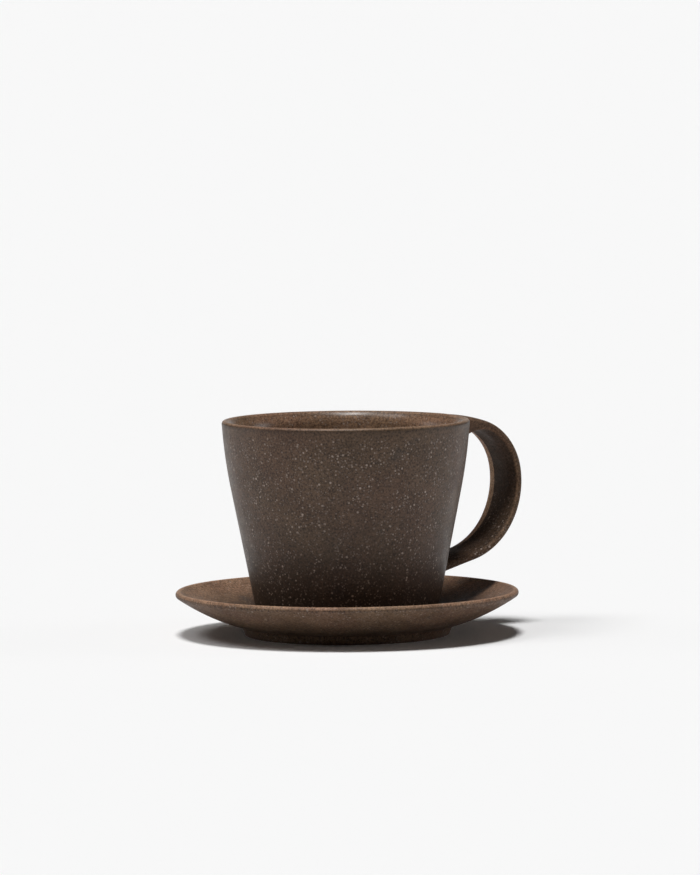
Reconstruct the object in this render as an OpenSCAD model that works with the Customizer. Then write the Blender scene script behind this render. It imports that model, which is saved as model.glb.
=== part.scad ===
// Stoneware coffee cup with a strap handle, standing in the well of its saucer.
// Millimetres, +Z up. The origin is on the saucer's axis, on the table it stands on.
// The handle points along +X, and the whole set is mirror symmetric about the XZ plane.

/* [Saucer] */
// Outer diameter of the saucer
saucer_d = 118; // [108:0.5:134]
// Height from the table to the top of the saucer's lip
saucer_h = 15.3; // [13:0.1:20]
// Thickness of the lip, rounded all the way over
saucer_lip_t = 2.3; // [1.6:0.1:3]
// Thickness of the floor under the cup
saucer_floor_t = 3.8; // [3:0.1:5]
// Outer diameter of the foot ring where it stands on the table
saucer_foot_d = 70; // [64:0.5:76]
// Height of the foot ring's outer side, up to where the flare begins
saucer_foot_h = 3.1; // [2.4:0.1:4]
// How much the foot ring widens from the table to the flare
saucer_foot_taper = 1.3; // [0.5:0.1:2.5]
// Width of the ring that touches the table
saucer_foot_ring_w = 2.6; // [2:0.1:4]
// Height of the hollow under the floor, inside the foot ring
saucer_hollow_h = 1.8; // [1:0.1:2.4]
// Depth of the well that keeps the cup in place
well_depth = 0.9; // [0.5:0.1:1.4]

/* [Cup] */
// Outer diameter of the cup at its rim
cup_d = 85.2; // [76:0.2:94]
// Height of the cup by itself
cup_h = 68.4; // [62:0.2:78]
// Wall thickness just below the lip
rim_t = 3.8; // [3.2:0.1:4.6]
// Wall thickness at the foot
base_t = 4.4; // [3.6:0.1:5.4]
// Radius of the rounding along the top of the rim
rim_round = 1.1; // [0.8:0.1:1.4]
// Depth over which the lip eases into the inside wall
lip_ease_h = 4.8; // [3:0.1:7]
// Thickness of the cup's floor over the hollow in its foot
cup_floor_t = 4.6; // [3.6:0.1:6]
// Radius between the inside wall and the floor
bowl_fillet = 9; // [4:0.5:14]
// Lean of the straight lower wall from the vertical, in degrees
wall_lean = 11.2; // [8:0.1:13]
// Lean of the wall at the rim, in degrees
rim_lean = 4; // [1:0.5:7]
// Height above the cup's foot at which the wall starts to ease upright
ease_h = 44.4; // [36:0.2:50]
// Width of the ring on which the cup stands
cup_foot_ring_w = 3; // [2:0.1:4]
// Height of the hollow inside the cup's foot ring
cup_hollow_h = 1.6; // [1:0.1:2.4]

/* [Handle] */
// Reach of the strap's middle line out from the rim
handle_reach = 23.1; // [19:0.1:30]
// Drop of the strap's middle line from the rim to the end of its lower bend
handle_drop = 46.8; // [40:0.2:50]
// Width of the strap across its flat
handle_w = 18; // [12:0.5:21]
// Thickness of the strap along its middle line
handle_t = 3.6; // [2.8:0.1:4.5]
// Thickness of the strap at its rounded edges
handle_edge_t = 2.4; // [1.6:0.1:2.6]
// Extra thickness that the strap gains where it meets the wall
handle_root_gain = 1; // [0:0.1:2.4]
// Depth to which the upper root flares down where it joins the wall
root_flare_h = 1.6; // [0:0.1:2.4]
// Length of that flare along the strap
root_flare_l = 4.8; // [2:0.2:7]
// Depth of the strap's upper face below the top of the rim
handle_below_rim = 0.1; // [0.1:0.1:2]

/* [Fit] */
// Gap all round between the cup's foot and the wall of the well
well_gap = 1.5; // [0.8:0.1:2.5]

/* [Hidden] */
$fn = 128;
clay = [0.30, 0.25, 0.22];
clay_handle = [0.26, 0.21, 0.19];

// Roundings of the two foot rings and of the edge of the well
foot_round = 0.6;
flare_round = 1;
well_round = 0.5;
// Slope of the inner sides of both foot rings and of the well, as a run per rise
draft_share = 0.5;

// Control points of the saucer's flare, as shares of its run and of its rise
under_bow_shares = [0.51, 0.28];
upper_bow_shares = [0.52, 0.10];
// Lean of the flare where it meets the lip, in degrees from the level
lip_lean = 34;
// Slope of the cup's lip where it leaves the rim's rounding, in degrees from the level
lip_slope = 35;

// The handle's middle line is made of three bends, given by the slopes between them
// (degrees below the level) and by their radii as shares of the middle bend's
bend_slopes = [1, 14.5, 83.4, 165.4];
bend_shares = [1.9, 1, 1.29];
// Share of the swell in the strap's middle that is on its inner face, towards the fingers
inner_swell_share = 0.75;
// How steeply the extra thickness fades away from the roots
root_fade = 4;
// How deep the handle's raw ends reach into the cup before they are trimmed, in wall thicknesses
root_sink_share = 1.6;

// Steps along each curved stretch
round_steps = 6;
curve_steps = 14;
lip_steps = 7;
bend_steps = 14;
edge_steps = 5;
face_steps = 6;

// Saucer
saucer_r = saucer_d / 2;
lip_r = saucer_lip_t / 2;
foot_r = saucer_foot_d / 2;
flare_start = [foot_r + saucer_foot_taper, saucer_foot_h];
lip_centre = [saucer_r - lip_r, saucer_h - lip_r];
seat_z = saucer_hollow_h + saucer_floor_t;

// Cup, with heights above its own foot
rim_r = cup_d / 2;
rim_centre = [rim_r - rim_round * cos(rim_lean), cup_h - rim_round];
wall_top = cup_h - rim_round * (1 + sin(rim_lean));
lip_z = cup_h - lip_ease_h;
ease_r = (wall_top - ease_h) / (sin(wall_lean) - sin(rim_lean));
cup_foot_r = wall_r(0);
cup_floor_z = cup_hollow_h + cup_floor_t;
well_r = cup_foot_r + well_gap;

// Handle
swell = handle_t - handle_edge_t;
outer_swell = swell * (1 - inner_swell_share);
inner_swell = swell * inner_swell_share;
root_z = cup_h - handle_below_rim - outer_swell - (handle_edge_t + handle_root_gain) / 2;
root_sink = root_sink_share * base_t;

function lerp(a, b, k) = a + (b - a) * k;
function unit(v) = v / norm(v);

// Points of an arc about a centre
function arc(centre, r, from, to, steps) =
    [for (i = [0:steps]) let (a = lerp(from, to, i / steps)) centre + r * [cos(a), sin(a)]];

// Points of a curve that leaves a towards b and comes to c from b
function bow(a, b, c, steps) =
    [for (i = [0:steps]) let (k = i / steps) lerp(lerp(a, b, k), lerp(b, c, k), k)];

// The corner at b, between the sides to a and to c, rounded to radius r
function corner(a, b, c, r) =
    let (u = unit(a - b),
         v = unit(c - b),
         half = acos(u * v) / 2,
         centre = b + unit(u + v) * r / sin(half),
         p = b + u * r / tan(half) - centre,
         q = b + v * r / tan(half) - centre,
         turn = 180 - 2 * half)
    [for (i = [0:round_steps])
        let (k = i / round_steps)
        centre + (p * sin((1 - k) * turn) + q * sin(k * turn)) / sin(turn)];

// Where the line from p along u crosses the line from q along v
function meet(p, u, q, v) =
    let (d = q - p)
    p + u * (d[0] * v[1] - d[1] * v[0]) / (u[0] * v[1] - u[1] * v[0]);

// Outer radius of the cup at height z above its foot: a cone that eases upright in one long bend
function ease_lean(z) = asin(sin(rim_lean) + (wall_top - z) / ease_r);
function eased_r(z) = rim_r - ease_r * (cos(rim_lean) - cos(ease_lean(z)));
function wall_r(z) = z > ease_h ? eased_r(z) : eased_r(ease_h) - (ease_h - z) * tan(wall_lean);
function wall_t(z) = lerp(base_t, rim_t, z / wall_top);
function bowl_r(z) = wall_r(z) - wall_t(z);

// Outline of the cup's outer side, from the foot up to the crown of the lip
function cup_outer() =
    concat(
        corner([0, 0], [cup_foot_r, 0], [wall_r(ease_h), ease_h], foot_round),
        [for (i = [0:curve_steps - 1]) let (z = lerp(ease_h, wall_top, i / curve_steps)) [wall_r(z), z]],
        arc(rim_centre, rim_round, -rim_lean, 90, lip_steps));

module saucer() {
    ring_r = foot_r - saucer_foot_ring_w;
    hollow_r = ring_r - saucer_hollow_h * draft_share;
    well_edge = [well_r + well_depth * draft_share, seat_z + well_depth];
    under_end = lip_centre + lip_r * [sin(lip_lean), -cos(lip_lean)];
    upper_end = lip_centre + lip_r * [-sin(lip_lean), cos(lip_lean)];
    under_bow = [for (i = [0:1]) lerp(flare_start[i], under_end[i], under_bow_shares[i])];
    upper_bow = [for (i = [0:1]) lerp(well_edge[i], upper_end[i], upper_bow_shares[i])];
    under = bow(flare_start, under_bow, under_end, curve_steps);
    upper = bow(upper_end, upper_bow, well_edge, curve_steps);
    outline = concat(
        [[0, saucer_hollow_h]],
        corner([0, saucer_hollow_h], [hollow_r, saucer_hollow_h], [ring_r, 0], foot_round),
        corner([hollow_r, saucer_hollow_h], [ring_r, 0], [foot_r, 0], foot_round),
        corner([ring_r, 0], [foot_r, 0], flare_start, foot_round),
        corner([foot_r, 0], flare_start, under[1], flare_round),
        [for (i = [1:curve_steps - 1]) under[i]],
        arc(lip_centre, lip_r, lip_lean - 90, lip_lean + 90, 2 * lip_steps),
        [for (i = [1:curve_steps - 1]) upper[i]],
        corner(upper[curve_steps - 1], well_edge, [well_r, seat_z], well_round),
        corner(well_edge, [well_r, seat_z], [0, seat_z], well_round),
        [[0, seat_z]]);
    color(clay) rotate_extrude() polygon(outline);
}

module cup_body() {
    ring_r = cup_foot_r - cup_foot_ring_w;
    hollow_r = ring_r - cup_hollow_h * draft_share;
    wall_low = [bowl_r(cup_floor_z), cup_floor_z];
    lip_dir = [-cos(lip_slope), -sin(lip_slope)];
    lip_start = rim_centre + rim_round * [-sin(lip_slope), cos(lip_slope)];
    lip_end = [bowl_r(lip_z), lip_z];
    wall_next = [bowl_r(lip_z - rim_round), lip_z - rim_round];
    lip_bow = meet(lip_start, lip_dir, lip_end, lip_end - wall_next);
    outline = concat(
        [[0, cup_hollow_h]],
        corner([0, cup_hollow_h], [hollow_r, cup_hollow_h], [ring_r, 0], foot_round),
        corner([hollow_r, cup_hollow_h], [ring_r, 0], [cup_foot_r, 0], foot_round),
        cup_outer(),
        arc(rim_centre, rim_round, 90, 90 + lip_slope, lip_steps),
        bow(lip_start, lip_bow, lip_end, curve_steps),
        [for (i = [1:curve_steps]) let (z = lerp(lip_z, ease_h, i / curve_steps)) [bowl_r(z), z]],
        corner([bowl_r(ease_h), ease_h], wall_low, [0, cup_floor_z], bowl_fillet),
        [[0, cup_floor_z]]);
    color(clay) translate([0, 0, seat_z]) rotate_extrude() polygon(outline);
}

// Run and drop of a bend of radius 1 between two slopes
function bend_step(from, to) = [sin(to) - sin(from), cos(to) - cos(from)];

// Start of bend n, with the middle bend's radius as 1
function bend_start(n) =
    n == 0 ? [0, 0] : bend_start(n - 1) + bend_shares[n - 1] * bend_step(bend_slopes[n - 1], bend_slopes[n]);

// Each stop of the middle line: its place, in radii of the middle bend, and its slope
function bend_stops() =
    [for (n = [0:2]) for (i = [0:bend_steps - 1])
        let (slope = lerp(bend_slopes[n], bend_slopes[n + 1], i / bend_steps))
        [bend_start(n) + bend_shares[n] * bend_step(bend_slopes[n], slope), slope]];

// The same stops at the handle's own reach and drop, between ends sunk in the wall.
// Each is [x, z, slope, share of the way along].
function handle_path() =
    let (crown = bend_start(2)[0] + bend_shares[2] * (1 - sin(bend_slopes[2])),
         foot = bend_start(3)[1],
         stops = bend_stops(),
         last_slope = bend_slopes[3],
         low = [rim_r + handle_reach * bend_start(3)[0] / crown, root_z - handle_drop],
         low_run = low[0] - wall_r(low[1]) + root_sink,
         bends = [for (s = stops)
             [rim_r + handle_reach * s[0][0] / crown, root_z - handle_drop * s[0][1] / foot, s[1]]],
         start = [rim_r - root_sink, root_z, 0],
         end = [low[0] - low_run, low[1] + low_run * tan(last_slope), last_slope],
         path = concat([start], bends, [[low[0], low[1], last_slope], end]),
         count = len(path))
    [for (i = [0:count - 1]) [path[i][0], path[i][1], path[i][2], i / (count - 1)]];

// One flat of the strap's section, which swells by rise in the middle. Each point is [across, out].
function strap_flat(edge_r, rise) =
    [for (i = [0:face_steps])
        let (s = lerp(-1, 1, i / face_steps)) [s * (handle_w / 2 - edge_r), edge_r + rise * (1 - s * s)]];

// One round edge of the section, drawn out inwards by flare
function strap_edge(edge_r, flare) =
    [for (i = [1:edge_steps - 1])
        let (a = lerp(90, -90, i / edge_steps))
        [handle_w / 2 - edge_r * (1 - cos(a)), edge_r * sin(a) - flare * (1 - sin(a)) / 2]];

// The whole section of the strap at one stop
function strap_section(stop) =
    let (gain = handle_root_gain * pow(2 * abs(stop[3] - 0.5), root_fade),
         edge_r = (handle_edge_t + gain) / 2,
         out = min(1, max(0, (stop[0] - rim_r) / root_flare_l)),
         flare = stop[3] < 0.5 ? root_flare_h * pow(1 - out, 2) : 0,
         edge = strap_edge(edge_r, flare))
    concat(
        strap_flat(edge_r, outer_swell),
        edge,
        [for (p = strap_flat(edge_r, inner_swell)) [-p[0], -p[1] - flare]],
        [for (i = [len(edge) - 1:-1:0]) [-edge[i][0], edge[i][1]]]);

// A strap swept along its middle line, with both ends closed
module strap() {
    rings = [for (s = handle_path())
        [for (p = strap_section(s)) [s[0] + p[1] * sin(s[2]), p[0], s[1] + p[1] * cos(s[2])]]];
    around = len(rings[0]);
    last = len(rings) - 1;
    points = [for (ring = rings) for (p = ring) p];
    sides = [for (i = [0:last - 1]) for (j = [0:around - 1])
        let (a = i * around + j,
             b = i * around + (j + 1) % around)
        each [[a, b, b + around], [a, b + around, a + around]]];
    caps = [[for (j = [around - 1:-1:0]) j], [for (j = [0:around - 1]) last * around + j]];
    polyhedron(points, concat(sides, caps));
}

module cup_handle() {
    color(clay_handle) translate([0, 0, seat_z]) difference() {
        strap();
        rotate_extrude() polygon(concat([[0, 0]], cup_outer(), [[0, cup_h]]));
    }
}

saucer();
cup_body();
cup_handle();
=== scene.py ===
import math

import bmesh
import bpy
from mathutils import Matrix, Vector


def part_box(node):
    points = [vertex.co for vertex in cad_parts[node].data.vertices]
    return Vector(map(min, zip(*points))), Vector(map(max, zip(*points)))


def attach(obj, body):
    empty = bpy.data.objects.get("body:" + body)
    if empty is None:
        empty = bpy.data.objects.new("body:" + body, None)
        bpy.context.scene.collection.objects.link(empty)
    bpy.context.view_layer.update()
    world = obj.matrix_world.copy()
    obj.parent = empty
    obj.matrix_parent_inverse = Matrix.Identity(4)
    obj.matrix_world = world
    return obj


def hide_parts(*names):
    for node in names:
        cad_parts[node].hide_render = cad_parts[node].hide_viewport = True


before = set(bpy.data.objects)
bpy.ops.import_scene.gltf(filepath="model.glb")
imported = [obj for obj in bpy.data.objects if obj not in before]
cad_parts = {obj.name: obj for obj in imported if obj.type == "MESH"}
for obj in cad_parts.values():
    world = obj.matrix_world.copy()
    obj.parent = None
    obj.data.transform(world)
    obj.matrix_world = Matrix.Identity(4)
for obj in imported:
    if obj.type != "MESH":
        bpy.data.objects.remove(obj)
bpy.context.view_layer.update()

mm = 0.001
print("frame loaded:", ", ".join(sorted(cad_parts)))


# Camera: a long lens at table height, as in the photograph

cameraView = {
    "imageSize": (700, 875),
    "sensor": 36,  # mm along the tall side
    "lens": 252,  # mm
    "azimuth": -32,  # degrees, as are the next two
    "elevation": 5.17,
    "roll": 0.451,
    "distance": 2.105,  # m
    "farthest": 200,  # m, how far the camera sees
    "targetHeight": 41.9,  # mm
    "targetPixel": (346.4, 512.6),  # where the target lands in the image
}


def towards(azimuth, elevation):
    # direction from the cup, with azimuth 0 along -Y and 90 along +X
    azimuth, elevation = math.radians(azimuth), math.radians(elevation)
    level = math.cos(elevation)
    return Vector((math.sin(azimuth) * level, -math.cos(azimuth) * level, math.sin(elevation)))


def makeCamera(view):
    pixelFocal = view["lens"] * view["imageSize"][1] / view["sensor"]
    back = towards(view["azimuth"], view["elevation"])
    right = Vector((0, 0, 1)).cross(back).normalized()
    up = back.cross(right)
    roll = math.radians(view["roll"])
    right, up = (
        math.cos(roll) * right - math.sin(roll) * up,
        math.sin(roll) * right + math.cos(roll) * up,
    )
    aside = (view["imageSize"][0] / 2 - view["targetPixel"][0]) / pixelFocal
    above = (view["targetPixel"][1] - view["imageSize"][1] / 2) / pixelFocal
    forward = (-back + right * aside + up * above).normalized()
    right = (right - forward * right.dot(forward)).normalized()
    up = right.cross(forward)
    place = Vector((0, 0, view["targetHeight"] * mm)) + back * view["distance"]
    bpy.ops.object.camera_add(location=place)
    camera = bpy.context.object
    camera.name = "studioCamera"
    camera.data.lens = view["lens"]
    camera.data.sensor_width = view["sensor"]
    camera.data.sensor_fit = "AUTO"
    camera.data.clip_end = view["farthest"]
    turn = Matrix((right, up, -forward)).transposed()
    camera.matrix_world = Matrix.Translation(place) @ turn.to_4x4()
    bpy.context.scene.camera = camera


makeCamera(cameraView)
print("camera placed")


# Small tools for outlines, all in millimetres as (radius, height)

def between(a, b, k):
    return a + (b - a) * k


def evenly(start, end, steps):
    return [between(start, end, i / steps) for i in range(steps + 1)]


def arcPoints(centre, radius, startAngle, endAngle, steps):
    angles = [math.radians(angle) for angle in evenly(startAngle, endAngle, steps)]
    return [(centre[0] + radius * math.cos(a), centre[1] + radius * math.sin(a)) for a in angles]


def bowPoints(start, pull, end, steps):
    points = []
    for k in evenly(0, 1, steps):
        near = [between(a, b, k) for a, b in zip(start, pull)]
        far = [between(a, b, k) for a, b in zip(pull, end)]
        points.append(tuple(between(a, b, k) for a, b in zip(near, far)))
    return points


def cornerPoints(before, corner, after, radius, steps=10):
    corner = Vector(corner)
    sideA = (Vector(before) - corner).normalized()
    sideB = (Vector(after) - corner).normalized()
    half = sideA.angle(sideB) / 2
    centre = corner + (sideA + sideB).normalized() * radius / math.sin(half)
    fromCentre = corner + sideA * radius / math.tan(half) - centre
    toCentre = corner + sideB * radius / math.tan(half) - centre
    turn = math.pi - 2 * half
    points = []
    for k in evenly(0, 1, steps):
        spoke = (fromCentre * math.sin((1 - k) * turn) + toCentre * math.sin(k * turn)) / math.sin(turn)
        points.append(tuple(centre + spoke))
    return points


def crossing(p, u, q, v):
    # where the line from p along u meets the line from q along v
    d = Vector(q) - Vector(p)
    k = (d[0] * v[1] - d[1] * v[0]) / (u[0] * v[1] - u[1] * v[0])
    return (p[0] + u[0] * k, p[1] + u[1] * k)


def withoutRepeats(points, gap=0.01):
    kept = [points[0]]
    for point in points[1:]:
        if math.dist(point, kept[-1]) > gap:
            kept.append(point)
    return kept


def fromFrame(length):
    # the frame's meshes are faceted, so their sizes are rounded to a tenth of a millimetre
    return round(length / mm, 1)


# Small tools for modelling

def startPiece(name):
    bpy.ops.object.select_all(action="DESELECT")
    bpy.ops.mesh.primitive_plane_add(size=mm)
    piece = bpy.context.object
    piece.name = name
    bpy.ops.object.mode_set(mode="EDIT")
    bpy.ops.mesh.select_all(action="SELECT")
    bpy.ops.mesh.merge(type="CENTER")
    return piece


def drawLine(piece, points):
    mesh = bmesh.from_edit_mesh(piece.data)
    for vertex in mesh.verts:
        vertex.co = points[0]
        vertex.select = True
    bmesh.update_edit_mesh(piece.data)
    here = Vector(points[0])
    for point in points[1:]:
        step = Vector(point) - here
        bpy.ops.mesh.extrude_region_move(TRANSFORM_OT_translate={"value": step})
        here = Vector(point)


def finishPiece(piece, creaseAngle=40, mergeGap=0.002):
    bpy.ops.mesh.select_all(action="SELECT")
    bpy.ops.mesh.remove_doubles(threshold=mergeGap * mm)
    bpy.ops.mesh.normals_make_consistent(inside=False)
    bpy.ops.object.mode_set(mode="OBJECT")
    bpy.ops.object.select_all(action="DESELECT")
    piece.select_set(True)
    bpy.context.view_layer.objects.active = piece
    bpy.ops.object.shade_smooth_by_angle(angle=math.radians(creaseAngle))


def throwOnWheel(name, outline, turns=256):
    piece = startPiece(name)
    drawLine(piece, [(r * mm, 0, z * mm) for r, z in withoutRepeats(outline)])
    bpy.ops.mesh.select_all(action="SELECT")
    bpy.ops.mesh.spin(steps=turns, angle=2 * math.pi, center=(0, 0, 0), axis=(0, 0, 1))
    finishPiece(piece)
    return piece


def makeUneven(piece, size, strength):
    unevenness = bpy.data.textures.new(piece.name + "Unevenness", "CLOUDS")
    unevenness.noise_scale = size * mm
    unevenness.noise_depth = 1
    wobble = piece.modifiers.new("handmade", "DISPLACE")
    wobble.texture = unevenness
    wobble.texture_coords = "LOCAL"
    wobble.mid_level = 0.5
    wobble.strength = strength * mm
    bpy.context.view_layer.objects.active = piece
    bpy.ops.object.modifier_apply(modifier=wobble.name)


def rising(value, low, high):
    return min(1, max(0, (value - low) / (high - low)))


def paintFaces(piece, name, share):
    # keeps on each face corner how much it belongs to a side of the piece, from 0 to 1, as a mask for painted
    # light and shade
    mesh = piece.data
    painted = mesh.attributes.new(name, "FLOAT", "CORNER")
    for corner, facing, paint in zip(mesh.loops, mesh.corner_normals, painted.data):
        paint.value = share(mesh.vertices[corner.vertex_index].co / mm, facing.vector)


# Saucer and cup: each is thrown from its own outline, in millimetres

saucerBox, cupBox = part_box("saucer"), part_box("cup_body")
seatHeight = fromFrame(cupBox[0].z)  # floor of the saucer's well, where the cup stands

saucerShape = {
    "radius": fromFrame(saucerBox[1].x),
    "height": fromFrame(saucerBox[1].z),
    "lipThickness": 2.3,
    "footRadius": 35,
    "footHeight": 3.1,
    "footTaper": 1.3,
    "footRingWidth": 2.6,
    "hollowHeight": 1.8,
    "wellDepth": 0.9,
    "wellGap": 1.5,
    "lipLean": 34,  # degrees
    "underPull": (0.51, 0.28),  # how far the underside bows, as shares of its run and rise
    "upperPull": (0.52, 0.10),
    "footRound": 0.6,
    "flareRound": 1,
    "wellRound": 0.5,
    "draft": 0.5,  # run of a sloped side for each unit of its height
    "bowSteps": 48,
    "cornerSteps": 4,  # steps of a bow that its rounded end takes up
    "lipSteps": 24,
    "unevenSize": 22,
    "unevenness": 0.12,
    "upperTurn": (0.1, 0.3),  # how far a face has to turn up to count as the upper side
}

cupShape = {
    "rimRadius": fromFrame(cupBox[1].x),
    "height": fromFrame(cupBox[1].z - cupBox[0].z),
    "rimThickness": 3.8,
    "baseThickness": 4.4,
    "rimRound": 1.1,
    "rimLean": 4,  # degrees, as is the wall's
    "wallLean": 11.2,
    "easeHeight": 44.4,  # where the straight wall starts to ease upright
    "lipSlope": 35,  # degrees
    "lipEaseHeight": 4.8,
    "floorThickness": 4.6,
    "bowlFillet": 9,
    "filletRoom": 2,  # left free between the wall's last point and the fillet
    "footRingWidth": 3,
    "hollowHeight": 1.6,
    "footRound": 0.6,
    "draft": 0.5,
    "lowSteps": 12,
    "easeSteps": 24,
    "bowlSteps": 10,
    "unevenSize": 24,
    "unevenness": 0.12,
}


def wallTop():
    return cupShape["height"] - cupShape["rimRound"] * (1 + math.sin(math.radians(cupShape["rimLean"])))


def wallRadius(height):
    rimLean, wallLean = math.radians(cupShape["rimLean"]), math.radians(cupShape["wallLean"])
    easeHeight = cupShape["easeHeight"]
    easeRadius = (wallTop() - easeHeight) / (math.sin(wallLean) - math.sin(rimLean))
    upper = max(height, easeHeight)
    lean = math.asin(math.sin(rimLean) + (wallTop() - upper) / easeRadius)
    radius = cupShape["rimRadius"] - easeRadius * (math.cos(rimLean) - math.cos(lean))
    return radius - max(0, easeHeight - height) * math.tan(wallLean)


def bowlRadius(height):
    thickness = between(cupShape["baseThickness"], cupShape["rimThickness"], height / wallTop())
    return wallRadius(height) - thickness


def rimCentre():
    rimRound, rimLean = cupShape["rimRound"], math.radians(cupShape["rimLean"])
    return (cupShape["rimRadius"] - rimRound * math.cos(rimLean), cupShape["height"] - rimRound)


def saucerOutline(shape):
    footRadius, hollow = shape["footRadius"], shape["hollowHeight"]
    ringRadius = footRadius - shape["footRingWidth"]
    hollowRadius = ringRadius - hollow * shape["draft"]
    wellRadius = wallRadius(0) + shape["wellGap"]
    wellEdge = (wellRadius + shape["wellDepth"] * shape["draft"], seatHeight + shape["wellDepth"])
    lipRadius = shape["lipThickness"] / 2
    lipCentre = (shape["radius"] - lipRadius, shape["height"] - lipRadius)
    lean = math.radians(shape["lipLean"])
    underEnd = (lipCentre[0] + lipRadius * math.sin(lean), lipCentre[1] - lipRadius * math.cos(lean))
    upperEnd = (lipCentre[0] - lipRadius * math.sin(lean), lipCentre[1] + lipRadius * math.cos(lean))
    flareStart = (footRadius + shape["footTaper"], shape["footHeight"])
    underPull = tuple(between(a, b, k) for a, b, k in zip(flareStart, underEnd, shape["underPull"]))
    upperPull = tuple(between(a, b, k) for a, b, k in zip(wellEdge, upperEnd, shape["upperPull"]))
    under = bowPoints(flareStart, underPull, underEnd, shape["bowSteps"])
    upper = bowPoints(upperEnd, upperPull, wellEdge, shape["bowSteps"])
    taken = shape["cornerSteps"]
    return (
        [(0, hollow)]
        + cornerPoints((0, hollow), (hollowRadius, hollow), (ringRadius, 0), shape["footRound"])
        + cornerPoints((hollowRadius, hollow), (ringRadius, 0), (footRadius, 0), shape["footRound"])
        + cornerPoints((ringRadius, 0), (footRadius, 0), flareStart, shape["footRound"])
        + cornerPoints((footRadius, 0), flareStart, under[taken], shape["flareRound"])
        + under[taken:-1]
        + arcPoints(lipCentre, lipRadius, shape["lipLean"] - 90, shape["lipLean"] + 90, shape["lipSteps"])
        + upper[1:1 - taken]
        + cornerPoints(upper[-taken], wellEdge, (wellRadius, seatHeight), shape["wellRound"])
        + cornerPoints(wellEdge, (wellRadius, seatHeight), (0, seatHeight), shape["wellRound"])
        + [(0, seatHeight)]
    )


def cupOutline(shape):
    hollow, footRadius = shape["hollowHeight"], wallRadius(0)
    ringRadius = footRadius - shape["footRingWidth"]
    hollowRadius = ringRadius - hollow * shape["draft"]
    floorHeight = hollow + shape["floorThickness"]
    easeHeight, rimRound, steps = shape["easeHeight"], shape["rimRound"], shape["easeSteps"]
    slope, centre = math.radians(shape["lipSlope"]), rimCentre()
    lipHeight = shape["height"] - shape["lipEaseHeight"]
    lipStart = (centre[0] - rimRound * math.sin(slope), centre[1] + rimRound * math.cos(slope))
    lipEnd = (bowlRadius(lipHeight), lipHeight)
    wallSlope = (lipEnd[0] - bowlRadius(lipHeight - rimRound), rimRound)
    lipPull = crossing(lipStart, (-math.cos(slope), -math.sin(slope)), lipEnd, wallSlope)
    easeStart, bowlStart = (wallRadius(easeHeight), easeHeight), (bowlRadius(easeHeight), easeHeight)
    bowlEnd, lastHeight = (bowlRadius(floorHeight), floorHeight), floorHeight + shape["bowlFillet"]
    bowlHeights = evenly(easeHeight, lastHeight + shape["filletRoom"], shape["bowlSteps"])
    outline = (
        [(0, hollow)]
        + cornerPoints((0, hollow), (hollowRadius, hollow), (ringRadius, 0), shape["footRound"])
        + cornerPoints((hollowRadius, hollow), (ringRadius, 0), (footRadius, 0), shape["footRound"])
        + cornerPoints((ringRadius, 0), (footRadius, 0), easeStart, shape["footRound"])
        + [(wallRadius(h), h) for h in evenly(0, easeHeight, shape["lowSteps"])[1:-1]]
        + [(wallRadius(h), h) for h in evenly(easeHeight, wallTop(), steps)[:-1]]
        + arcPoints(centre, rimRound, -shape["rimLean"], 90 + shape["lipSlope"], steps)
        + bowPoints(lipStart, lipPull, lipEnd, steps)[1:]
        + [(bowlRadius(h), h) for h in evenly(lipHeight, easeHeight, steps)[1:]]
        + [(bowlRadius(h), h) for h in bowlHeights[1:-1]]
        + cornerPoints(bowlStart, bowlEnd, (0, floorHeight), shape["bowlFillet"], steps)
        + [(0, floorHeight)]
    )
    return [(r, seatHeight + z) for r, z in outline]


# the upper side of the saucer, which carries painted shade round the cup and painted light towards the lip
def upperSide(place, facing):
    return rising(facing.z, *saucerShape["upperTurn"])


saucer = throwOnWheel("saucerDish", saucerOutline(saucerShape))
makeUneven(saucer, saucerShape["unevenSize"], saucerShape["unevenness"])
paintFaces(saucer, "upperSide", upperSide)
print("saucer thrown:", len(saucer.data.polygons), "faces")

cupBowl = throwOnWheel("cupBowl", cupOutline(cupShape))
makeUneven(cupBowl, cupShape["unevenSize"], cupShape["unevenness"])
print("cup thrown:", len(cupBowl.data.polygons), "faces")


# Handle: a pulled strap with a D-shaped section, in millimetres

handleShape = {
    "reach": 23.1,  # of the middle line, out from the rim
    "drop": 46.8,  # from its upper root to the end of its lower bend
    "width": 18,
    "thickness": 3.6,
    "edgeThickness": 2.4,
    "rootGain": 1,
    "rootFade": 4,
    "flareHeight": 4.4,  # swell under the upper root
    "flareLength": 12,
    "flareFade": 1.6,
    "belowRim": 0.1,
    "innerSwell": 0.6,  # share of the swell on the inner face
    "innerBevel": 0.45,  # share of the inner face that slopes off towards each edge
    "bendSlopes": (1, 14.5, 83.4, 165.4),  # degrees below the level
    "bendRadii": (1.9, 1, 1.29),  # as shares of the middle bend's
    "sink": 1.6,
    "fillet": 0.5,
    "bendSteps": 48,
    "step": 0.9,
    "rootStep": 0.2,
    "rootZone": 6,  # length of each end that has the short steps
    "faceSteps": 20,
    "edgeSteps": 10,
    "creaseAngle": 60,
    "unevenSize": 14,
    "unevenness": 0.1,
    "holeMiddle": (46, 0, 50),  # a spot inside the hole, in the frame
    "innerTurn": 4,  # how far a face has to turn towards that spot to count as the inner face
    "innerFade": (49, 53),  # radii over which the inner face's painted shade and highlights set in
}


def bendPoint(place, radius, fromSlope, toSlope):
    a, b = math.radians(fromSlope), math.radians(toSlope)
    return (
        place[0] + radius * (math.sin(b) - math.sin(a)),
        place[1] + radius * (math.cos(b) - math.cos(a)),
    )


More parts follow.
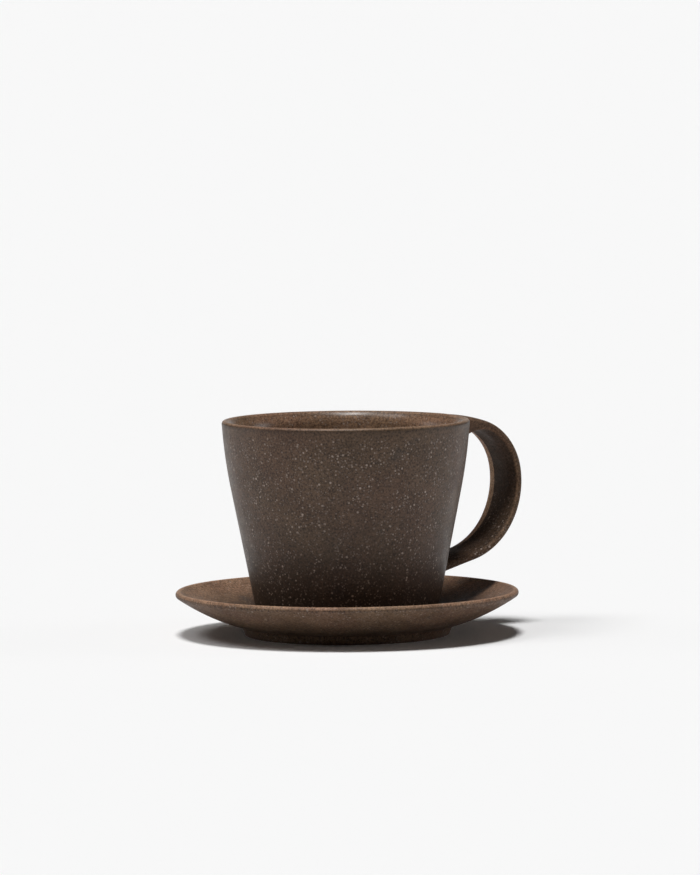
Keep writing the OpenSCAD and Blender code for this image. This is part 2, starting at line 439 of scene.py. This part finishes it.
def handleBends(shape):
    # stops, end and furthest reach of the middle line, in radii of its middle bend
    stops, place, crown = [], (0, 0), 0
    slopes = shape["bendSlopes"]
    for radius, fromSlope, toSlope in zip(shape["bendRadii"], slopes, slopes[1:]):
        for slope in evenly(fromSlope, toSlope, shape["bendSteps"])[:-1]:
            stops.append((*bendPoint(place, radius, fromSlope, slope), slope))
        crown = place[0] + radius * (1 - math.sin(math.radians(fromSlope)))
        place = bendPoint(place, radius, fromSlope, toSlope)
    return stops, place, crown


def handlePath(shape):
    outerSwell = (shape["thickness"] - shape["edgeThickness"]) * (1 - shape["innerSwell"])
    halfRoot = (shape["edgeThickness"] + shape["rootGain"]) / 2
    rootHeight = cupShape["height"] - shape["belowRim"] - outerSwell - halfRoot
    stops, end, crown = handleBends(shape)
    rimRadius = cupShape["rimRadius"]
    acrossScale, downScale = shape["reach"] / crown, shape["drop"] / end[1]
    bends = [(rimRadius + x * acrossScale, rootHeight - z * downScale, slope) for x, z, slope in stops]
    low = (rimRadius + end[0] * acrossScale, rootHeight - shape["drop"], shape["bendSlopes"][-1])
    return bends, low, rootHeight


def cupSidePoints(rimEnd=100, sideSteps=60, rimSteps=12):
    # up the wall and round the rim, as far as rimEnd in degrees
    side = [(wallRadius(h), h) for h in evenly(0, wallTop(), sideSteps)[:-1]]
    return side + arcPoints(rimCentre(), cupShape["rimRound"], -cupShape["rimLean"], rimEnd, rimSteps)


cupSide = cupSidePoints()


def wallDistance(radius, height):
    # how far a point stands off the cup's outer side, negative inside it
    best = math.inf
    for (r1, z1), (r2, z2) in zip(cupSide, cupSide[1:]):
        run = (r2 - r1, z2 - z1)
        k = ((radius - r1) * run[0] + (height - z1) * run[1]) / (run[0] ** 2 + run[1] ** 2)
        k = min(1, max(0, k))
        best = min(best, math.hypot(radius - r1 - run[0] * k, height - z1 - run[1] * k))
    inside = radius < wallRadius(min(height, wallTop())) and height < cupShape["height"]
    return -best if inside else best


def strapStops(shape):
    bends, low, rootHeight = handlePath(shape)
    start = (cupShape["rimRadius"] - shape["sink"], rootHeight, 0)
    lowRun = low[0] - wallRadius(low[1]) + shape["sink"]
    end = (low[0] - lowRun, low[1] + lowRun * math.tan(math.radians(low[2])), low[2])
    coarse = [start] + bends + [low, end]
    lengths = [math.dist(a[:2], b[:2]) for a, b in zip(coarse, coarse[1:])]
    total, travelled, stops = sum(lengths), 0, []
    for a, b, length in zip(coarse, coarse[1:], lengths):
        nearEnd = min(travelled, total - travelled - length) < shape["rootZone"]
        count = max(1, round(length / (shape["rootStep"] if nearEnd else shape["step"])))
        for k in evenly(0, 1, count)[:-1]:
            stops.append([between(p, q, k) for p, q in zip(a, b)] + [(travelled + length * k) / total])
        travelled += length
    stops.append(list(end) + [1])
    return stops


def strapSection(shape, stop):
    # points round the strap at one stop: across it, and out from its middle line
    radius, along = stop[0], stop[3]
    gain = shape["rootGain"] * (2 * abs(along - 0.5)) ** shape["rootFade"]
    edge = (shape["edgeThickness"] + gain) / 2
    swell = shape["thickness"] - shape["edgeThickness"]
    innerSwell, outerSwell = swell * shape["innerSwell"], swell * (1 - shape["innerSwell"])
    out = rising(radius, cupShape["rimRadius"], cupShape["rimRadius"] + shape["flareLength"])
    flare = shape["flareHeight"] * (1 - out) ** shape["flareFade"] if along < 0.5 else 0
    half = shape["width"] / 2
    across = evenly(-1, 1, shape["faceSteps"])
    outer = [(s * (half - edge), edge + outerSwell * (1 - s * s)) for s in across]
    rounding = []
    for k in evenly(0, 1, shape["edgeSteps"])[1:-1]:
        a = math.radians(between(90, -90, k))
        drop = flare / 2 if k == 0.5 else flare if k > 0.5 else 0  # the inner half goes down with the flare
        rounding.append((half - edge * (1 - math.cos(a)), edge * math.sin(a) - drop))
    bevels = [min(1, (1 - abs(s)) / shape["innerBevel"]) for s in across]
    inner = [(-s * (half - edge), -edge - innerSwell * bevel - flare) for s, bevel in zip(across, bevels)]
    return outer + rounding + inner + [(-y, z) for y, z in reversed(rounding)]


def strapRing(shape, stop):
    slope = math.radians(stop[2])
    section = strapSection(shape, stop)
    ring = []
    for n, (across, out) in enumerate(section):
        x, z = stop[0] + out * math.sin(slope), stop[1] + out * math.cos(slope)
        off = wallDistance(math.hypot(x, across), z)
        spread = max(0, shape["fillet"] - max(0, off))
        if spread:  # a small fillet where the strap meets the wall
            spread = shape["fillet"] - math.sqrt(shape["fillet"] ** 2 - spread ** 2)
            before, after = section[n - 1], section[(n + 1) % len(section)]
            normal = Vector((before[1] - after[1], after[0] - before[0])).normalized()
            across, out = across + normal[0] * spread, out + normal[1] * spread
            x, z = stop[0] + out * math.sin(slope), stop[1] + out * math.cos(slope)
        z = min(z, cupShape["height"] - shape["belowRim"])
        ring.append((x * mm, across * mm, (z + seatHeight) * mm))
    return ring


def pullStrap(name, shape):
    rings = [strapRing(shape, stop) for stop in strapStops(shape)]
    first = rings[0]
    piece = startPiece(name)
    drawLine(piece, first)
    bpy.ops.mesh.select_all(action="SELECT")
    bpy.ops.mesh.edge_face_add()
    mesh = bmesh.from_edit_mesh(piece.data)
    end = next(face for face in mesh.faces if face.select)
    order = [min(range(len(first)), key=lambda n: math.dist(first[n], corner.co)) for corner in end.verts]
    for ring in rings[1:]:
        bpy.ops.mesh.extrude_region_move()
        mesh = bmesh.from_edit_mesh(piece.data)
        end = next(face for face in mesh.faces if face.select)
        for corner, n in zip(end.verts, order):
            corner.co = ring[n]
        bmesh.update_edit_mesh(piece.data)
    finishPiece(piece, shape["creaseAngle"])
    return piece


def innerFace(place, facing):
    # full where the strap faces its hole, and none near the wall; the mask for the strap's painted shade and
    # highlights
    middle = Vector(handleShape["holeMiddle"])
    turned = rising((middle - place).dot(facing), 0, handleShape["innerTurn"])
    return turned * rising(place.xy.length, *handleShape["innerFade"])


cupStrap = pullStrap("cupStrap", handleShape)
makeUneven(cupStrap, handleShape["unevenSize"], handleShape["unevenness"])
paintFaces(cupStrap, "innerFace", innerFace)
print("strap pulled:", len(cupStrap.data.polygons), "faces")


# Stoneware

stonewareLook = {
    "darkBrown": (0.068, 0.038, 0.023),
    "warmBrown": (0.130, 0.079, 0.050),
    "oliveBrown": (0.114, 0.074, 0.044),
    "redBrown": (0.122, 0.067, 0.043),
    "smudgeGrey": (0.045, 0.040, 0.038),
    "fleck": (0.46, 0.36, 0.30),
    # colour of the painted shade ring round each fleck
    "ringShade": (0.030, 0.018, 0.012),
    # each noise: scale per metre, detail, roughness, then the range that counts and the values at its ends
    "mottle": (95, 4, 0.6, (0.34, 0.66, 0, 1)),
    "tint": (38, 2, 0.5, (0.40, 0.60, 0, 1)),
    "smudge": (62, 3, 0.65, (0.66, 0.74, 0, 0.45)),
    "grain": (1450, 2, 0.7, (0.3, 0.7, 0.4, 1.75)),
    "crowding": (140, 2, 0.5, (0.36, 0.62, 0.25, 1)),
    "dullness": (240, 3, 0.6, (0.3, 0.7, 0.46, 0.62)),
    "skin": (900, 3, 0.65),
    "turning": (1, 2, 0.5),
    "turningScale": (25, 25, 1100),  # per metre, flat cells that make the fine rings left by the wheel
    "tintShare": 0.4,
    # each layer of flecks: cells per metre, size in a cell, rarity, brightness
    "flecks": ((1200, 0.40, 0.40, 0.42), (900, 0.36, 0.55, 0.7), (700, 0.34, 0.74, 1.0)),
    "fleckCore": 0.5,  # share of a fleck's size that has its full colour
    "dimmestFleck": 0.3,
    "ringShadeSize": 1.8,  # the painted shade ring round a fleck, in fleck sizes
    "ringShadeStrength": 0.2,
    "bareShare": 0.12,  # share of the flecks left on a bare stretch
    "specular": 0.24,
    "bumpStrength": 0.25,
    "bumpDepth": 0.12,  # mm
    # painted light that brightens the inside of the bowl
    "bowlPaintedLight": 2.6,
    "bowlGloss": 0.62,  # share of the roughness left inside the bowl
    "bowlEdge": 0.4,  # mm, half of the width over which the bowl's finish sets in
}


def addNode(tree, kind, inputs=None, **settings):
    node = tree.nodes.new(kind)
    for name, value in settings.items():
        setattr(node, name, value)
    for name, value in (inputs or {}).items():
        if isinstance(value, bpy.types.NodeSocket):
            tree.links.new(value, node.inputs[name])
        else:
            node.inputs[name].default_value = value
    return node


def ranged(tree, value, low, high, toLow=0, toHigh=1):
    return addNode(
        tree, "ShaderNodeMapRange",
        {"Value": value, "From Min": low, "From Max": high, "To Min": toLow, "To Max": toHigh},
    ).outputs["Result"]


def noise(tree, where, scale, detail, roughness, span=None):
    settings = {"Vector": where, "Scale": scale, "Detail": detail, "Roughness": roughness}
    cloud = addNode(tree, "ShaderNodeTexNoise", settings).outputs["Fac"]
    return ranged(tree, cloud, *span) if span else cloud


def combined(tree, operation, a, b):
    return addNode(tree, "ShaderNodeMath", {0: a, 1: b}, operation=operation).outputs[0]


def times(tree, a, b):
    return combined(tree, "MULTIPLY", a, b)


def mixed(tree, share, a, b, blend="MIX"):
    # the colour sockets of a Mix node have no names of their own: share 0, colours 6 and 7, result 2
    node = addNode(tree, "ShaderNodeMix", data_type="RGBA", blend_type=blend)
    for socket, value in ((node.inputs[0], share), (node.inputs[6], a), (node.inputs[7], b)):
        if isinstance(value, bpy.types.NodeSocket):
            tree.links.new(value, socket)
        else:
            socket.default_value = value
    return node.outputs[2]


def solid(colour):
    return (*colour, 1)


def fleckLayer(tree, where, look, scale, size, rarity, brightness):
    # a layer of round flecks, and of the rings of painted shade round them
    cells = addNode(tree, "ShaderNodeTexVoronoi", {"Vector": where, "Scale": scale})
    distance = cells.outputs["Distance"]
    chosen = addNode(tree, "ShaderNodeSeparateColor", {"Color": cells.outputs["Color"]}).outputs["Red"]
    dot = ranged(tree, distance, size * look["fleckCore"], size, 1, 0)
    hollow = ranged(tree, distance, size, size * look["ringShadeSize"], look["ringShadeStrength"], 0)
    luck = ranged(tree, chosen, rarity, 1, brightness * look["dimmestFleck"], brightness)
    present = combined(tree, "GREATER_THAN", chosen, rarity)
    return times(tree, times(tree, dot, luck), present), times(tree, hollow, present)


def measureClay(tree, where):
    # height, radius and side of a spot on the clay, in millimetres
    inMm = addNode(tree, "ShaderNodeVectorMath", {0: where, "Scale": 1 / mm}, operation="SCALE").outputs[0]
    place = addNode(tree, "ShaderNodeSeparateXYZ", {"Vector": inMm})
    level = addNode(tree, "ShaderNodeVectorMath", {0: inMm, 1: (1, 1, 0)}, operation="MULTIPLY").outputs[0]
    radius = addNode(tree, "ShaderNodeVectorMath", {0: level}, operation="LENGTH").outputs["Value"]
    return {"height": place.outputs["Z"], "radius": radius, "side": place.outputs["Y"]}


def clayColour(tree, where, look):
    mottle, tint, smudge = (noise(tree, where, *look[name]) for name in ("mottle", "tint", "smudge"))
    colour = mixed(tree, mottle, solid(look["darkBrown"]), solid(look["warmBrown"]))
    tinted = mixed(tree, tint, solid(look["oliveBrown"]), solid(look["redBrown"]))
    colour = mixed(tree, look["tintShare"], colour, tinted)
    return mixed(tree, smudge, colour, solid(look["smudgeGrey"]))


def claySurface(tree, where, look):
    rings = addNode(tree, "ShaderNodeMapping", {"Vector": where, "Scale": look["turningScale"]}).outputs[0]
    skin = combined(tree, "ADD", noise(tree, where, *look["skin"]), noise(tree, rings, *look["turning"]))
    settings = {"Height": skin, "Strength": look["bumpStrength"], "Distance": look["bumpDepth"] * mm}
    return addNode(tree, "ShaderNodeBump", settings).outputs[0]


def makeStoneware(name, look, paintedLightAndShade=(), bareAbove=None, fleckShare=1, bowlLine=None, gloss=1):
    clay = bpy.data.materials.new(name)
    clay.use_nodes = True
    tree = clay.node_tree
    shader = tree.nodes["Principled BSDF"]
    where = addNode(tree, "ShaderNodeTexCoord").outputs["Object"]
    measures = measureClay(tree, where)

    if bowlLine:
        (lowRadius, lowHeight), (highRadius, highHeight) = bowlLine
        line = ranged(tree, measures["height"], lowHeight, highHeight, lowRadius, highRadius)
        within = combined(tree, "SUBTRACT", line, measures["radius"])

    def inBowl(outside, inside):
        # changes from one value to the other where the wall turns into the bowl
        return ranged(tree, within, -look["bowlEdge"], look["bowlEdge"], outside, inside)

    tone = noise(tree, where, *look["grain"])
    # painted light and shade, each multiplied into the clay's random grain tone
    for face, measure, low, high, lowTone, highTone in paintedLightAndShade:
        change = ranged(tree, measures[measure], low, high, lowTone, highTone)
        if face != "all":
            painted = addNode(tree, "ShaderNodeAttribute", attribute_name=face).outputs["Fac"]
            change = ranged(tree, painted, 0, 1, 1, change)
        tone = times(tree, tone, change)
    # painted light inside the bowl
    if bowlLine:
        tone = times(tree, tone, inBowl(1, look["bowlPaintedLight"]))
    toneColour = addNode(tree, "ShaderNodeCombineColor", {"Red": tone, "Green": tone, "Blue": tone})
    colour = mixed(tree, 1, clayColour(tree, where, look), toneColour.outputs[0], "MULTIPLY")

    amount = times(tree, noise(tree, where, *look["crowding"]), fleckShare)
    if bareAbove:
        bare = ranged(tree, measures["height"], *bareAbove, 1, look["bareShare"])
        amount = times(tree, amount, inBowl(bare, 1) if bowlLine else bare)
    for layer in look["flecks"]:
        dots, ringShades = fleckLayer(tree, where, look, *layer)
        # painted shade in a ring round each fleck
        colour = mixed(tree, times(tree, ringShades, amount), colour, solid(look["ringShade"]))
        colour = mixed(tree, times(tree, dots, amount), colour, solid(look["fleck"]))
    tree.links.new(colour, shader.inputs["Base Color"])

    dull = times(tree, noise(tree, where, *look["dullness"]), 1 / gloss)
    if bowlLine:
        dull = times(tree, dull, inBowl(1, look["bowlGloss"]))
    tree.links.new(dull, shader.inputs["Roughness"])
    shader.inputs["Specular IOR Level"].default_value = look["specular"] * gloss
    tree.links.new(claySurface(tree, where, look), shader.inputs["Normal"])
    return clay


saucerLip = saucerShape["height"]
cupTop = seatHeight + cupShape["height"]
strapHalf = handleShape["width"] / 2
midWall = cupShape["baseThickness"] / 2

# each painted light or shade: a painted mask of faces or all, what it goes by, the range in mm, brightness at
# both ends
clayFinishes = {
    "saucerStoneware": {
        "fleckShare": 0.6,
        "gloss": 0.95,
        "paintedLightAndShade": (
            # painted shade on the dish round the cup, painted light further out towards the lip
            ("upperSide", "radius", saucerShape["footRadius"] + 1, saucerShape["radius"] - 5, 0.5, 1.9),
            # painted highlight along the crown of the lip
            ("all", "height", saucerLip - 0.35, saucerLip - 0.1, 1, 1.4),
        ),
    },
    "cupStoneware": {
        "gloss": 1.2,
        "bareAbove": (cupTop - 4.5, cupTop - 3),
        "bowlLine": ((wallRadius(0) - midWall, seatHeight), (cupShape["rimRadius"] - midWall, cupTop)),
        "paintedLightAndShade": (
            # painted shade, darker towards the bottom of the wall
            ("all", "height", 10, 42, 0.26, 0.85),
            # painted shade in a narrow band just under the rim
            ("all", "height", cupTop - 2.1, cupTop - 1.3, 1, 0.72),
            # painted highlight on the crown of the rim
            ("all", "height", cupTop - 0.8, cupTop - 0.25, 1, 3),
        ),
    },
    "handleStoneware": {
        "gloss": 0.75,
        "bareAbove": (38, 50),
        "paintedLightAndShade": (
            # painted highlight along the strap's near edge, painted shade over the rest of its inner face
            ("innerFace", "side", 0.2 - strapHalf, 1.2 - strapHalf, 1.6, 0.6),
            # painted highlight along the far edge of the strap's inner face
            ("innerFace", "side", strapHalf - 4.8, strapHalf - 4.3, 1, 6),
        ),
    },
}

for piece, node, body, slot, clay in (
    (saucer, "saucer", "saucer", "saucer_clay", "saucerStoneware"),
    (cupBowl, "cup_body", "cup", "cup_clay", "cupStoneware"),
    (cupStrap, "cup_handle", "cup", "cup_clay", "handleStoneware"),
):
    piece.data.materials.clear()
    piece.data.materials.append(makeStoneware(clay, stonewareLook, **clayFinishes[clay]))
    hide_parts(node)
    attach(piece, body)
print("clay on all pieces")


# Studio: azimuths run from the camera's side towards its right

studio = {
    "floorSize": (80, 50),  # m
    "floorFront": 0.62,  # m, the sheet ends this far in front of the cup, the room beyond is dark
    "floorColour": (0.92, 0.92, 0.92),
    "background": 0.955,
    "roomGlow": 0.05,
    "backdrop": 1,  # the white paper behind, as the gloss shows it
    "backdropFade": (0.86, 0.98),  # cosines of the angle from its middle where it ends and is full
    # azimuth, elevation, softness (degrees), strength
    "lamps": {
        "overhead": (340, 80, 16, 2.42),
        "leftSide": (290, 58, 24, 0.7),
        "lowLeft": (262, 10, 20, 0.25),
        "lowRight": (98, 10, 20, 0.35),
    },
}


def layFloor():
    bpy.ops.object.select_all(action="DESELECT")
    bpy.ops.mesh.primitive_plane_add(size=1)
    floor = bpy.context.object
    floor.name = "paleFloor"
    bpy.ops.object.mode_set(mode="EDIT")
    bpy.ops.mesh.select_all(action="SELECT")
    width, depth = studio["floorSize"]
    bpy.ops.transform.resize(value=(width, depth, 1), center_override=(0, 0, 0))
    bpy.ops.transform.translate(value=(0, depth / 2 - studio["floorFront"], 0))
    turn = math.radians(-cameraView["azimuth"])
    bpy.ops.transform.rotate(value=turn, orient_axis="Z", center_override=(0, 0, 0))
    bpy.ops.object.mode_set(mode="OBJECT")
    floorPaint = bpy.data.materials.new("palePaper")
    floorPaint.use_nodes = True
    paper = floorPaint.node_tree.nodes["Principled BSDF"]
    paper.inputs["Base Color"].default_value = solid(studio["floorColour"])
    paper.inputs["Roughness"].default_value = 1
    paper.inputs["Specular IOR Level"].default_value = 0
    floor.data.materials.append(floorPaint)


def hangLamps():
    for name, (azimuth, elevation, softness, strength) in studio["lamps"].items():
        aim = towards(azimuth + cameraView["azimuth"], elevation).to_track_quat("Z", "Y").to_euler()
        bpy.ops.object.light_add(type="SUN", rotation=aim)
        lamp = bpy.context.object
        lamp.name = name
        lamp.data.energy = strength
        lamp.data.angle = math.radians(softness)


def paintRoom():
    world = bpy.data.worlds.new("studioRoom")
    bpy.context.scene.world = world
    world.use_nodes = True
    tree = world.node_tree
    tree.nodes.clear()
    rays = addNode(tree, "ShaderNodeLightPath").outputs
    # the gloss of the clay shows the white paper behind the cup, which fades towards the sides
    looking = addNode(tree, "ShaderNodeTexCoord").outputs["Generated"]
    behind = towards(cameraView["azimuth"] + 180, 0)
    facing = addNode(tree, "ShaderNodeVectorMath", {0: looking, 1: behind}, operation="DOT_PRODUCT")
    backdrop = ranged(tree, facing.outputs["Value"], *studio["backdropFade"], 0, studio["backdrop"])
    glow = combined(tree, "ADD", times(tree, backdrop, rays["Is Glossy Ray"]), studio["roomGlow"])
    room = addNode(tree, "ShaderNodeBackground", {"Strength": glow}).outputs[0]
    white = {"Color": solid((1, 1, 1)), "Strength": studio["background"]}
    seen = addNode(tree, "ShaderNodeBackground", white).outputs[0]
    choice = addNode(tree, "ShaderNodeMixShader", {"Fac": rays["Is Camera Ray"], 1: room, 2: seen}).outputs[0]
    addNode(tree, "ShaderNodeOutputWorld", {"Surface": choice})


layFloor()
hangLamps()
paintRoom()
bpy.context.scene.view_settings.view_transform = "Standard"
print("studio ready")
